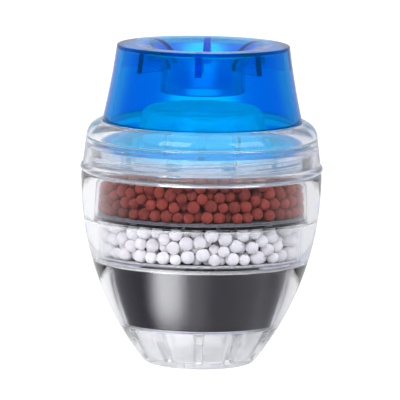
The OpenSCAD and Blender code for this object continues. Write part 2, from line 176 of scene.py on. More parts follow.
class FilterColours(PropertyGroup):
    shell: colour("Shell", "Tint of the clear bowl and cap", (0.95, 0.95, 0.975))
    milky: colour("Bloom", "Tint of the cap, the foot and the inlet cover", (0.965, 0.965, 0.985))
    cup: colour("Cups", "Tint of the clear cups and the inlet cover", (0.96, 0.96, 0.98))
    blue: colour("Sleeve", "Tint of the sleeve's skin", (0.0, 0.7, 0.92))
    # painted light: a lighter tint of the same plastic for the sleeve's foot under the cap
    blue_foot: colour("Sleeve foot", "Lighter tint of the sleeve's foot under the cap", (0.0, 0.93, 1.0))
    # painted light: a paler tint of the same plastic for the sleeve's bell mouth
    mouth_painted_light: colour("Sleeve mouth", "Pale tint of the sleeve's bell mouth", (0.8, 1.0, 1.0))
    # painted shade: a deeper tint of the same plastic for the webs' narrow faces
    web: colour("Webs", "Deeper tint of the sleeve's webs", (0.0, 0.22, 0.95))
    blue_depth: colour("Sleeve depth", "Colour that the sleeve takes where it is thick", (0.0, 0.66, 0.93))
    blue_gloss: colour("Sleeve gloss", "Tint of the sleeve's reflections", (0.0, 0.3, 0.6))
    clay: colour("Clay", "Red-brown of the fired clay balls", (0.36, 0.057, 0.036))
    mineral: colour("Mineral", "White of the mineral balls", (0.97, 0.955, 0.95))
    carbon: colour("Carbon", "Black of the carbon", (0.02, 0.018, 0.024))
    wire: colour("Wire", "Grey of the woven wire", (0.25, 0.25, 0.27))
    mesh: colour("White mesh", "White of the woven inlet and outlet screens", (0.8, 0.81, 0.84))
    fleece: colour("Fleece", "Grey of the fleece pads", (0.16, 0.15, 0.165))
    dusty: colour("Dusty fleece", "Mottled grey of the pad over the carbon", (0.66, 0.65, 0.67))
    floor: colour("Floor", "Grey of the floor under its glow", (0.08, 0.08, 0.08))
    left_sky: colour("Left light", "Light that comes from the left", (0.8, 0.8, 0.82))
    right_sky: colour("Right light", "Light that comes from the right", (0.56, 0.6, 0.71))


def sizes_mm(context):
    """The lengths in millimetres, with the radii and levels that follow from them, named as in the part's source."""
    group = context.scene.filter_sizes
    s = SimpleNamespace()
    for key in FilterSizes.__annotations__:
        value = getattr(group, key)
        plain = isinstance(value, int) or key == "web_turn"
        setattr(s, key, value if plain else round(value / MM, 4))
    s.cover_z = s.upper_z + s.upper_h
    s.castle_z = s.cover_z + s.cover_t
    s.flange_z = s.castle_z + s.castle_h
    s.cap_ledge_z = s.flange_z + s.flange_t
    s.cap_top_z = s.cap_ledge_z + s.cap_top_t
    s.rim_z = s.flange_z + s.sleeve_h
    s.middle_rim_r = s.upper_r - s.middle_ledge_w
    s.middle_floor_r = s.middle_rim_r - s.middle_draft
    s.lower_rim_r = s.middle_floor_r - s.lower_ledge_w
    s.lower_floor_r = s.lower_rim_r - s.lower_draft
    bore = s.cup_wall + s.cup_gap
    s.upper_bore_r = s.upper_r + bore
    s.middle_bore_r = s.middle_rim_r + bore
    s.middle_foot_bore_r = s.middle_floor_r + bore
    s.lower_bore_r = s.lower_rim_r + bore
    s.lower_foot_bore_r = s.lower_floor_r + bore
    s.middle_ledge_z = s.upper_z - s.cup_flange_t
    s.lower_ledge_z = s.middle_z - s.cup_flange_t
    s.neck_r = s.upper_bore_r + s.neck_wall
    s.belly_r = s.upper_bore_r + s.belly_wall
    s.foot_r = s.lower_floor_r - s.foot_inset
    depth = s.belly_r - s.foot_r
    s.side_curve_r = (depth**2 + s.belly_z**2) / (2 * depth)
    s.foot_recess_r = s.foot_r - s.foot_edge_r - s.foot_land_w
    s.skirt_foot_r = s.upper_r - s.skirt_inset
    s.rim_r = s.skirt_foot_r - s.skirt_taper
    s.mouth_r = s.rim_r - s.flat_top_w
    s.flange_r = s.neck_r - s.flange_inset
    s.cap_mouth_r = s.skirt_foot_r + s.mouth_gap
    s.cap_bore_r = s.neck_r + s.thread_room
    s.cap_r = s.cap_bore_r + s.cap_wall
    s.cap_upper_bore_r = s.flange_r + s.flange_gap
    s.cap_neck_r = s.cap_upper_bore_r + s.cap_upper_wall
    s.seat_r = s.upper_r - s.castle_wall
    s.dome_foot_r = s.seat_r - s.cover_ring_w
    s.dome_r = s.dome_foot_r - s.dome_draft
    return s


# Shapes


def rounded(corners, steps=5):
    """Rounds the corners of a closed outline.

    Each corner is (radius, height, cut). The edge leaves each side at the distance cut from the corner,
    at most 0.45 of that side, and runs between the two on a quadratic curve whose control point is the corner.
    """
    c = np.asarray(corners, float)
    point, cut = c[:, :2], c[:, 2:3]
    before = np.roll(point, 1, axis=0) - point
    after = np.roll(point, -1, axis=0) - point
    before_len = np.linalg.norm(before, axis=1, keepdims=True)
    after_len = np.linalg.norm(after, axis=1, keepdims=True)
    start = point + before / before_len * np.minimum(cut, 0.45 * before_len)
    end = point + after / after_len * np.minimum(cut, 0.45 * after_len)
    t = np.linspace(0, 1, steps)[None, :, None]
    curve = (1 - t) ** 2 * start[:, None] + 2 * t * (1 - t) * point[:, None] + t**2 * end[:, None]
    return curve.reshape(-1, 2)


def grid_faces(rows, columns, wrap_rows, wrap_columns):
    """Quads between neighbours of a grid of points that is stored row by row."""
    i = np.arange(rows if wrap_rows else rows - 1)[:, None]
    j = np.arange(columns if wrap_columns else columns - 1)[None, :]
    a = i * columns + j
    b = (i + 1) % rows * columns + j
    c = (i + 1) % rows * columns + (j + 1) % columns
    d = i * columns + (j + 1) % columns
    return np.stack([a, b, c, d], axis=-1).reshape(-1, 4)


def round_angles(count):
    """Evenly spaced angles of a full turn, from the front."""
    return np.arange(count) * 2 * math.pi / count - math.pi / 2


def revolve(profile, angles, shift=None):
    """A closed half section turned about the axis: x = (r + shift) cos(a), y = (r + shift) sin(a), z = height.

    shift, where given, is a radial change for each angle and each point of the section.
    """
    r = profile[None, :, 0] + (0 if shift is None else shift)
    a = np.asarray(angles)[:, None]
    z = np.broadcast_to(profile[None, :, 1], (len(angles), len(profile)))
    r = np.broadcast_to(r, z.shape)
    points = np.stack([r * np.cos(a), r * np.sin(a), z], axis=-1).reshape(-1, 3)
    return points, grid_faces(len(angles), len(profile), True, True)


def slotted_shell(profile, angles, keep):
    """A thin open half section turned about the axis, without the cells where keep(angle, radius, height) is false.

    The cell's middle is tested, and the walls of the slots come from giving the sheet its thickness.
    """
    points, faces = revolve(profile, angles)
    columns = len(profile)
    faces = faces[faces[:, 0] % columns != columns - 1]
    middle = points[faces].mean(axis=1)
    radius = np.hypot(middle[:, 0], middle[:, 1])
    angle = np.arctan2(middle[:, 1], middle[:, 0])
    return points, faces[keep(angle, radius, middle[:, 2])]


def slot_angles(count, start, half_widths, fill):
    """Angles of a full turn that fall on the edges of evenly spaced slots, with even steps between the edges."""
    pitch = 2 * math.pi / count
    edges = np.array([-half_widths, 0.0, half_widths])
    between = np.linspace(half_widths, pitch - half_widths, fill + 2)[1:-1]
    return (np.arange(count)[:, None] * pitch + start + np.concatenate([edges, between])[None, :]).ravel()


def prism(outline, thickness, angles):
    """A flat outline of (radius, height) given a thickness across its plane, and repeated at each angle."""
    n = len(outline)
    half = np.array([-thickness / 2, thickness / 2])[:, None]
    r = np.broadcast_to(outline[None, :, 0], (2, n))
    side = np.broadcast_to(half, (2, n))
    a = np.asarray(angles)[:, None, None]
    x = r * np.cos(a) - side * np.sin(a)
    y = r * np.sin(a) + side * np.cos(a)
    z = np.broadcast_to(outline[None, None, :, 1], x.shape)
    points = np.stack([x, y, z], axis=-1).reshape(-1, 3)
    ring = grid_faces(2, n, False, True)
    faces = []
    for copy in range(len(angles)):
        base = copy * 2 * n
        faces += (ring + base).tolist()
        faces += [list(range(base, base + n)), list(range(base + 2 * n - 1, base + n - 1, -1))]
    return points, faces


def helix_ridge(root_r, crest_r, foot_z, lead, start, sweep, foot_w, crest_w, steps):
    """A thread ridge: a trapezium between the root and the crest, carried along a helix.

    The height rises by lead for each full turn, and the ridge grows from nothing and dies away over its ends.
    """
    t = np.linspace(0, 1, steps)
    fade = np.clip(np.minimum(t, 1 - t) * sweep / math.radians(6), 0, 1)
    a = start + sweep * t
    centre = foot_z + lead * sweep * t / (2 * math.pi)
    sunk = root_r - 0.05 * np.sign(crest_r - root_r)
    r = np.stack([np.full(steps, sunk), root_r + (crest_r - root_r) * fade,
                  root_r + (crest_r - root_r) * fade, np.full(steps, sunk)], axis=-1)
    z = centre[:, None] + np.array([-foot_w, -crest_w, crest_w, foot_w])[None, :] / 2
    points = np.stack([r * np.cos(a)[:, None], r * np.sin(a)[:, None], z], axis=-1).reshape(-1, 3)
    faces = grid_faces(steps, 4, False, True).tolist()
    faces += [[0, 1, 2, 3], [4 * steps - 1, 4 * steps - 2, 4 * steps - 3, 4 * steps - 4]]
    return points, faces


def ball_shape(cells=4):
    """A unit ball of 6 faces with cells x cells quads each.

    Each cube face is a grid of angles, and its points (tan u, tan v, 1) are brought to length 1.
    """
    u = np.tan(np.linspace(-math.pi / 4, math.pi / 4, cells + 1))
    a, b = np.meshgrid(u, u, indexing="ij")
    one = np.ones_like(a)
    sides = [(a, b, one), (b, a, -one), (one, a, b), (-one, b, a), (b, one, a), (a, -one, b)]
    points = np.concatenate([np.stack(side, axis=-1).reshape(-1, 3) for side in sides])
    points /= np.linalg.norm(points, axis=1, keepdims=True)
    faces = np.concatenate([grid_faces(cells + 1, cells + 1, False, False) + i * (cells + 1) ** 2 for i in range(6)])
    unique, index = np.unique(points.round(6), axis=0, return_inverse=True)
    return unique, index.reshape(-1)[faces]


def settle_balls(count, mean_d, floor_z, top_z, wall, core_r, seed, rounds):
    """Centres and radii of balls that lie packed in a ring between a cup's wall and a core.

    They start at random places. In each round every two that overlap move apart by half the overlap each,
    all sink a little, and they are brought back inside the floor, the pad above, the wall and the core.
    """
    rng = np.random.default_rng(seed)
    radius = mean_d / 2 * rng.uniform(0.9, 1.14, count)
    turn = rng.uniform(0, 2 * math.pi, count)
    outer, inner = wall(np.array(floor_z)) - mean_d / 2, core_r + mean_d / 2
    reach = np.sqrt(rng.uniform(inner**2, outer**2, count))
    place = np.stack([reach * np.cos(turn), reach * np.sin(turn), rng.uniform(floor_z, top_z, count)], axis=-1)
    room = radius[:, None] + radius[None, :]
    np.fill_diagonal(room, 0)
    for step in range(rounds):
        gap = place[:, None] - place[None, :]
        far = np.sqrt((gap**2).sum(axis=-1)) + 1e-9
        push = np.clip(room - far, 0, None) / far * 0.5
        place = place + (gap * push[..., None]).sum(axis=1) * 0.9
        if step < rounds * 0.7:
            place[:, 2] -= 0.01
        place[:, 2] = np.clip(place[:, 2], floor_z + radius, top_z - radius)
        across = np.hypot(place[:, 0], place[:, 1]) + 1e-9
        held = np.clip(across, core_r + radius, wall(place[:, 2]) - radius)
        place[:, :2] *= (held / across)[:, None]
    return place, radius


def drilled_disc(radius, height, hole_r, pitch, rings, cuts):
    """A flat disc with a hole in its middle and 6k holes in ring k, as quads.

    Every hole lies in a cell of its own, which reaches half a pitch in and out and is closed by two radii.
    Points on the cell's edge are joined to points of the hole at the same part of the way round. Each ring's
    circle has the same 6 x cuts points, so that neighbouring cells share them.
    """
    points, faces = [], []

    def band(inside, outside):
        base = len(points)
        points.extend(np.concatenate([inside, outside]).tolist())
        faces.extend((grid_faces(2, len(inside), False, True) + base).tolist())

    full = np.arange(6 * cuts) * 2 * math.pi / (6 * cuts)
    circle = np.stack([np.cos(full), np.sin(full)], axis=-1)
    band(circle * hole_r, circle * pitch / 2)
    for ring in range(1, rings + 1):
        steps = cuts // ring
        low, high, half = (ring - 0.5) * pitch, (ring + 0.5) * pitch, math.pi / (6 * ring)
        up = np.linspace(-half, half, steps + 1)
        out = np.linspace(low, high, 5)
        edge_r = np.concatenate([np.full(steps, high), out[::-1][:-1], np.full(steps, low), out[:-1]])
        edge_a = np.concatenate([up[:-1], np.full(4, half), up[::-1][:-1], np.full(4, -half)])
        cell = np.stack([edge_r * np.cos(edge_a) - ring * pitch, edge_r * np.sin(edge_a)], axis=-1)
        hole = cell / np.linalg.norm(cell, axis=1, keepdims=True) * hole_r
        for i in range(6 * ring):
            c, n = math.cos(i * 2 * half), math.sin(i * 2 * half)
            turn = np.array([[c, n], [-n, c]])
            shift = np.array([ring * pitch, 0])
            band((hole + shift) @ turn, (cell + shift) @ turn)
    band(circle * (rings + 0.5) * pitch, circle * radius)
    flat = np.array(points)
    return np.column_stack([flat, np.full(len(flat), height)]), faces


def make_mesh(name, points, faces, material, body, node=None, sharp=35.0, thickness=0.0):
    """Makes a piece from points in millimetres: doubles merged, faces outward, smooth up to the sharp angle."""
    mesh = bpy.data.meshes.new(name)
    faces = faces.tolist() if isinstance(faces, np.ndarray) else faces
    mesh.from_pydata((np.asarray(points) * MM).tolist(), [], faces)
    mesh.validate()
    work = bmesh.new()
    work.from_mesh(mesh)
    bmesh.ops.remove_doubles(work, verts=work.verts, dist=2e-6)
    bmesh.ops.dissolve_degenerate(work, edges=work.edges, dist=1e-7)
    bmesh.ops.recalc_face_normals(work, faces=work.faces)
    if thickness:
        bmesh.ops.solidify(work, geom=work.faces[:], thickness=thickness * MM)
        bmesh.ops.recalc_face_normals(work, faces=work.faces)
    work.to_mesh(mesh)
    work.free()
    mesh.polygons.foreach_set("use_smooth", [True] * len(mesh.polygons))
    mesh.set_sharp_from_angle(angle=math.radians(sharp))
    mesh.materials.append(material)
    piece = bpy.data.objects.new(name, mesh)
    bpy.context.scene.collection.objects.link(piece)
    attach(piece, body)
    if node:
        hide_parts(node)
    return piece


def face_centres(mesh):
    """Middle of every face in millimetres."""
    centre = np.empty(len(mesh.polygons) * 3)
    mesh.polygons.foreach_get("center", centre)
    return centre.reshape(-1, 3) / MM


# Materials


def ripple_group():
    """The faint flow ripple of moulded plastic, as a normal: two sizes of noise under one bump."""
    group = bpy.data.node_groups.get("moulded ripple")
    if group:
        return group
    group = bpy.data.node_groups.new("moulded ripple", "ShaderNodeTree")
    for name, default in (("Scale", 300.0), ("Strength", 0.05)):
        socket = group.interface.new_socket(name, in_out="INPUT", socket_type="NodeSocketFloat")
        socket.default_value = default
    group.interface.new_socket("Normal", in_out="OUTPUT", socket_type="NodeSocketVector")
    nodes, links = group.nodes, group.links
    source = nodes.new("NodeGroupInput")
    place = nodes.new("ShaderNodeTexCoord")
    noise = nodes.new("ShaderNodeTexNoise")
    noise.inputs["Detail"].default_value = 1.0
    bump = nodes.new("ShaderNodeBump")
    bump.inputs["Distance"].default_value = 0.0005
    sink = nodes.new("NodeGroupOutput")
    links.new(place.outputs["Object"], noise.inputs["Vector"])
    links.new(source.outputs["Scale"], noise.inputs["Scale"])
    links.new(source.outputs["Strength"], bump.inputs["Strength"])
    links.new(noise.outputs["Fac"], bump.inputs["Height"])
    links.new(bump.outputs["Normal"], sink.inputs["Normal"])
    return group


def grain_group():
    """Fine grain for matte media: a mask of noise and a bumped normal from it."""
    group = bpy.data.node_groups.get("media grain")
    if group:
        return group
    group = bpy.data.node_groups.new("media grain", "ShaderNodeTree")
    for name, default in (("Scale", 2500.0), ("Strength", 0.4)):
        socket = group.interface.new_socket(name, in_out="INPUT", socket_type="NodeSocketFloat")
        socket.default_value = default
    group.interface.new_socket("Mask", in_out="OUTPUT", socket_type="NodeSocketFloat")
    group.interface.new_socket("Normal", in_out="OUTPUT", socket_type="NodeSocketVector")
    nodes, links = group.nodes, group.links
    source = nodes.new("NodeGroupInput")
    place = nodes.new("ShaderNodeTexCoord")
    noise = nodes.new("ShaderNodeTexNoise")
    noise.inputs["Detail"].default_value = 3.0
    bump = nodes.new("ShaderNodeBump")
    bump.inputs["Distance"].default_value = 0.0003
    sink = nodes.new("NodeGroupOutput")
    links.new(place.outputs["Object"], noise.inputs["Vector"])
    links.new(source.outputs["Scale"], noise.inputs["Scale"])
    links.new(source.outputs["Strength"], bump.inputs["Strength"])
    links.new(noise.outputs["Fac"], bump.inputs["Height"])
    links.new(noise.outputs["Fac"], sink.inputs["Mask"])
    links.new(bump.outputs["Normal"], sink.inputs["Normal"])
    return group


def fresh_material(name):
    """A material with a Principled BSDF joined to its output, and its nodes and links."""
    material = bpy.data.materials.get(name)
    if material:
        return material, None, None, None
    material = bpy.data.materials.new(name)
    material.use_nodes = True
    nodes, links = material.node_tree.nodes, material.node_tree.links
    return material, nodes, links, nodes["Principled BSDF"]


def add_group(nodes, group, **values):
    """Places a node group and sets its inputs."""
    node = nodes.new("ShaderNodeGroup")
    node.node_tree = group
    for name, value in values.items():
        node.inputs[name].default_value = value
    return node


def clear_material(name, tint, roughness, ior, gloss, clarity, ripple, depth_colour=None, depth=0.0, skin=None):
    """Clear moulded plastic. Lamps reach what is behind it, because its shadow rays pass straight through."""
    material, nodes, links, shader = fresh_material(name)
    if nodes is None:
        return material
    shader.inputs["Base Color"].default_value = (*tint, 1)
    shader.inputs["Roughness"].default_value = roughness
    shader.inputs["IOR"].default_value = ior
    shader.inputs["Specular Tint"].default_value = (*gloss, 1)
    shader.inputs["Transmission Weight"].default_value = clarity
    flow = add_group(nodes, ripple_group(), Scale=ripple[0], Strength=ripple[1])
    links.new(flow.outputs["Normal"], shader.inputs["Normal"])
    path = nodes.new("ShaderNodeLightPath")
    passing = nodes.new("ShaderNodeBsdfTransparent")
    passing.inputs["Color"].default_value = (*[math.sqrt(v) for v in tint], 1)
    mix = nodes.new("ShaderNodeMixShader")
    links.new(path.outputs["Is Shadow Ray"], mix.inputs["Fac"])
    links.new(shader.outputs["BSDF"], mix.inputs[1])
    links.new(passing.outputs["BSDF"], mix.inputs[2])
    if skin:
        painted = nodes.new("ShaderNodeAttribute")
        painted.attribute_name = skin
        links.new(painted.outputs["Color"], shader.inputs["Base Color"])
    output = nodes["Material Output"]
    links.new(mix.outputs["Shader"], output.inputs["Surface"])
    if depth:
        body = nodes.new("ShaderNodeVolumeAbsorption")
        body.inputs["Color"].default_value = (*depth_colour, 1)
        body.inputs["Density"].default_value = depth
        links.new(body.outputs["Volume"], output.inputs["Volume"])
    return material


def media_material(name, colour_rgb, roughness, scale, strength, spread, specular=0.5, toned=False):
    """A matte filling: its colour varies with the grain and, for balls, from one ball to the next."""
    material, nodes, links, shader = fresh_material(name)
    if nodes is None:
        return material
    shader.inputs["Roughness"].default_value = roughness
    shader.inputs["Specular IOR Level"].default_value = specular
    shader.inputs["Diffuse Roughness"].default_value = 1.0
    grain = add_group(nodes, grain_group(), Scale=scale, Strength=strength)
    links.new(grain.outputs["Normal"], shader.inputs["Normal"])
    ramp = nodes.new("ShaderNodeMix")
    ramp.data_type = "RGBA"
    ramp.inputs["A"].default_value = (*[v * (1 - spread) for v in colour_rgb], 1)
    ramp.inputs["B"].default_value = (*[min(1, v * (1 + spread)) for v in colour_rgb], 1)
    links.new(grain.outputs["Mask"], ramp.inputs["Factor"])
    if toned:
        tone = nodes.new("ShaderNodeAttribute")
        tone.attribute_name = "tone"
        blend = nodes.new("ShaderNodeMix")
        blend.data_type = "RGBA"
        blend.blend_type = "MULTIPLY"
        blend.inputs["Factor"].default_value = 1.0
        links.new(ramp.outputs["Result"], blend.inputs["A"])
        links.new(tone.outputs["Color"], blend.inputs["B"])
        links.new(blend.outputs["Result"], shader.inputs["Base Color"])
    else:
        links.new(ramp.outputs["Result"], shader.inputs["Base Color"])
    return material


def colours(context):
    """The colour settings of the scene."""
    return context.scene.filter_colours


def shell_material(context):
    """Clear plastic of the bowl."""
    return clear_material("clear shell", colours(context).shell, 0.02, 1.5, (0.35,) * 3, 1.0, (120.0, 0.04))


def cap_material(context):
    """The same plastic with a faint bloom, for the cap and the neck under it."""
    return clear_material("cap shell", colours(context).milky, 0.03, 1.45, (0.9,) * 3, 0.965, (120.0, 0.04))


def milky_material(context):
    """The same plastic with a pale bloom, for the foot and the inlet cover."""
    return clear_material("milky shell", colours(context).milky, 0.08, 1.5, (0.6,) * 3, 0.8, (120.0, 0.04))


def cup_material(context):
    """Clear plastic of the cups."""
    return clear_material("clear cup", colours(context).cup, 0.03, 1.12, (0.3,) * 3, 1.0, (160.0, 0.04))


def blue_material(context):
    """Soft blue plastic of the sleeve, darker where light runs a long way inside it."""
    c = colours(context)
    # the skin attribute sets the base colour, with a paler tint painted as light in the bell mouth
    return clear_material("blue soft plastic", c.blue, 0.12, 1.14, c.blue_gloss, 0.95, (200.0, 0.05),
                          c.blue_depth, 500.0, "skin")


def foot_material(context):
    """The same plastic for the sleeve's foot, which the light reaches from all sides, in a lighter tint that is
    painted light.
    """
    c = colours(context)
    return clear_material("blue foot painted light", c.blue_foot, 0.08, 1.2, c.blue_gloss, 0.93, (200.0, 0.05), c.blue_depth, 500.0)


def web_shade_material(context):
    """The same plastic for the webs, which are seen along their length, in a deeper tint that is painted shade on
    their narrow faces.
    """
    c = colours(context)
    return clear_material("blue webs painted shade", c.web, 0.1, 1.14, c.blue_gloss, 0.95, (200.0, 0.05), c.blue_depth, 500.0)


def web_side_material(context):
    """The same plastic for the flat sides of the webs."""
    c = colours(context)
    return clear_material("blue web sides", c.blue, 0.12, 1.14, c.blue_gloss, 0.95, (200.0, 0.05), c.blue_depth, 500.0)


# Pieces


class FilterOperator:
    """What the operators of the pieces share."""

    bl_options = {"REGISTER", "UNDO"}

    def execute(self, context):
        self.build(context, sizes_mm(context))
        return {"FINISHED"}


class FILTER_OT_bowl(FilterOperator, Operator):
    """Adds the clear bowl with its stepped bore, ribbed outlet and neck"""

    bl_idname = "filter.bowl"
    bl_label = "Bowl"

    def build(self, context, s):
        side = np.linspace(s.foot_edge_r + 0.3, s.seam_z - 0.2, 48)
        side_r = s.belly_r - s.side_curve_r + np.sqrt(s.side_curve_r**2 - (side - s.belly_z) ** 2)
        foot_x = s.belly_r - s.side_curve_r + math.sqrt(s.side_curve_r**2 - s.belly_z**2)
        chamber_r = s.belly_r - s.side_curve_r + math.sqrt(
            s.side_curve_r**2 - (s.floor_t - s.belly_z) ** 2) - s.outlet_wall
        plate_r = (s.spray_rings + 0.5) * s.spray_pitch + 0.3
        outer = [[foot_x, 0, s.foot_edge_r]]
        outer += [[r, z, 0] for r, z in zip(side_r, side)]
        outer += [
            [side_r[-1] - 0.05, s.seam_z, 0.12],
            [s.neck_r, s.seam_z, 0.1],
            [s.neck_r, s.flange_z, 0.15],
            [s.upper_bore_r, s.flange_z, 0.15],
            [s.upper_bore_r, s.middle_ledge_z, 0.15],
            [s.middle_bore_r, s.middle_ledge_z, 0.15],
            [s.middle_foot_bore_r, s.middle_z, 0.1],
            [s.middle_foot_bore_r, s.lower_ledge_z, 0.15],
            [s.lower_bore_r, s.lower_ledge_z, 0.15],
            [s.lower_foot_bore_r, s.lower_z, 0],
            [s.lower_foot_bore_r - 0.02, s.lower_z, 0],
            [chamber_r, s.floor_t, 0],
            [chamber_r - s.rib_depth - 0.1, s.floor_t, 0],
            [plate_r, s.floor_t, 0],
            [plate_r, s.foot_recess, 0],
            [s.foot_recess_r, s.foot_recess, 0.1],
            [s.foot_recess_r, 0, 0.3],
        ]
        profile = rounded(outer)
        half = s.rib_w / 2 / s.lower_foot_bore_r
        angles = slot_angles(s.rib_count, -math.pi / 2, half, 13)
        turn = (angles + math.pi / 2 + math.pi / s.rib_count) % (2 * math.pi / s.rib_count) - math.pi / s.rib_count
        on_rib = (np.abs(turn) < half * 1.001)[:, None]
        r, z = profile[:, 0], profile[:, 1]
        wall = (z >= s.floor_t - 1e-6) & (z <= s.lower_z + 1e-6) & (r >= chamber_r - 1e-6) & (r < s.lower_foot_bore_r - 0.01)
        inward = np.where(wall, s.rib_depth * (1 + (z - s.floor_t) / (s.lower_z - s.floor_t)), 0)
        points, faces = revolve(profile, angles, -inward[None, :] * on_rib)
        bowl = make_mesh("bowl_shell", points, faces, shell_material(context), "housing", "bowl")
        mesh = bowl.data
        mesh.materials.append(milky_material(context))
        mesh.materials.append(cap_material(context))
        height = face_centres(mesh)[:, 2]
        ledges = np.array([s.lower_ledge_z, s.middle_ledge_z, s.seam_z - 0.15])
        near_ledge = (np.abs(height[:, None] - ledges) < 0.3).any(axis=1)
        bloom = np.where((height < s.lower_z - 0.2) | near_ledge, 1, np.where(height > s.seam_z, 2, 0))
        mesh.polygons.foreach_set("material_index", bloom.astype(np.int32))
        points, faces = drilled_disc(plate_r - 0.01, s.floor_t, s.spray_hole_d / 2, s.spray_pitch, s.spray_rings, 8)
        make_mesh("spray_plate", points, faces, milky_material(context), "housing",
                  thickness=s.floor_t - s.foot_recess)
        self.thread(context, s)

    def thread(self, context, s):
        """Two ridges of the neck's thread."""
        for i in range(2):
            points, faces = helix_ridge(
                s.neck_r, s.neck_r + s.thread_h, s.seam_z + 1.3, s.thread_lead,
                math.pi * i, math.radians(150), 0.8, 0.3, 60)
            make_mesh(f"neck_thread_{i + 1}", points, faces, cap_material(context), "housing")


class FILTER_OT_cap(FilterOperator, Operator):
    """Adds the clear screw cap with its bead, rounded shoulder and inner thread"""

    bl_idname = "filter.cap"
    bl_label = "Screw cap"

    def build(self, context, s):
        bead_mid = s.seam_z + s.bead_d / 2
        bead_x = s.cap_r + s.bead_out - s.bead_d / 2
        turn = np.linspace(-math.pi / 2, math.pi / 2, 11)[1:-1]
        bead = [[bead_x + s.bead_d / 2 * math.cos(t), bead_mid + s.bead_d / 2 * math.sin(t), 0] for t in turn]
        shoulder_x = s.cap_neck_r - s.cap_shoulder_r
        shoulder_z = s.cap_top_z - s.cap_shoulder_r
        arc = np.linspace(0, math.acos((s.cap_mouth_r - shoulder_x) / s.cap_shoulder_r), 14)
        shoulder = [[shoulder_x + s.cap_shoulder_r * math.cos(t), shoulder_z + s.cap_shoulder_r * math.sin(t), 0]
                    for t in arc]
        corners = [[s.cap_bore_r, s.seam_z, 0.1]] + bead
        corners += [[s.cap_r, s.seam_z + s.bead_d, 0.25]] + shoulder
        corners += [
            [s.cap_mouth_r, s.cap_ledge_z, 0.15],
            [s.cap_upper_bore_r, s.cap_ledge_z, 0.15],
            [s.cap_upper_bore_r, s.flange_z + s.flange_t / 2, 0.1],
            [s.cap_bore_r, s.flange_z, 0.1],
        ]
        points, faces = revolve(rounded(corners), round_angles(192))
        make_mesh("cap_shell", points, faces, cap_material(context), "cap", "screw_cap")
        for i in range(2):
            points, faces = helix_ridge(
                s.cap_bore_r, s.cap_bore_r - s.thread_h, s.seam_z + 3.1, s.thread_lead,
                math.pi * i + 0.4, math.radians(150), 0.8, 0.3, 60)
            make_mesh(f"cap_thread_{i + 1}", points, faces, cap_material(context), "cap")


def cup_pieces(context, s, name, floor_z, floor_r, ledge_z, rim_r, flange_r, node):
    """A clear cup: wall and flange in one turned section, and a floor with a ring of slots."""
    top = ledge_z + s.cup_flange_t
    corners = [
        [floor_r + s.cup_wall, floor_z, 0.1],
        [rim_r + s.cup_wall, ledge_z, 0.05],
        [flange_r, ledge_z, 0.12],
        [flange_r, top, 0.12],
        [rim_r, top, 0.15],
        [rim_r, ledge_z, 0],
        [floor_r, floor_z + s.cup_floor_t, 0.1],
        [floor_r - s.floor_slot_w / 2, floor_z + s.cup_floor_t, 0],
        [floor_r - s.floor_slot_w / 2, floor_z, 0],
    ]
    if flange_r <= rim_r + s.cup_wall:
        del corners[2]
        corners[1] = [rim_r + s.cup_wall, top, 0.15]
        del corners[2]
    points, faces = revolve(rounded(corners), round_angles(192))
    make_mesh(f"{name}_wall", points, faces, cup_material(context), "housing", node)

    outer = floor_r - s.floor_slot_w / 2 - 0.02
    half = s.floor_slot_w / 2 / (s.floor_slot_r + 3)
    pitch = 2 * math.pi / s.floor_slots
    radii = np.array([0, s.floor_slot_r / 2, s.floor_slot_r, (s.floor_slot_r + outer - 0.8) / 2, outer - 0.8, outer])
    sheet = np.stack([radii, np.full(len(radii), floor_z + s.cup_floor_t)], axis=-1)
    angles = slot_angles(s.floor_slots, pitch / 2, half, 5)

    def keep(angle, radius, _height):
        turn = (angle + pitch) % pitch - pitch / 2
        return (np.abs(turn) > half) | (radius < s.floor_slot_r) | (radius > outer - 0.8)

    points, faces = slotted_shell(sheet, angles, keep)
    make_mesh(f"{name}_floor", points, faces, cup_material(context), "housing",
              thickness=s.cup_floor_t)


class FILTER_OT_cups(FilterOperator, Operator):
    """Adds the three clear cups that stack in the bowl"""

    bl_idname = "filter.cups"
    bl_label = "Cups"

    def build(self, context, s):
        cup_pieces(context, s, "lower_cup", s.lower_z, s.lower_floor_r, s.lower_ledge_z,
                   s.lower_rim_r, s.middle_floor_r + s.cup_wall, "lower_cup")
        cup_pieces(context, s, "middle_cup", s.middle_z, s.middle_floor_r, s.middle_ledge_z,
                   s.middle_rim_r, s.upper_r + s.cup_wall, "middle_cup")
        cup_pieces(context, s, "upper_cup", s.upper_z, s.upper_r, s.cover_z - s.cup_flange_t,
                   s.upper_r, s.upper_r + s.cup_wall, "upper_cup")


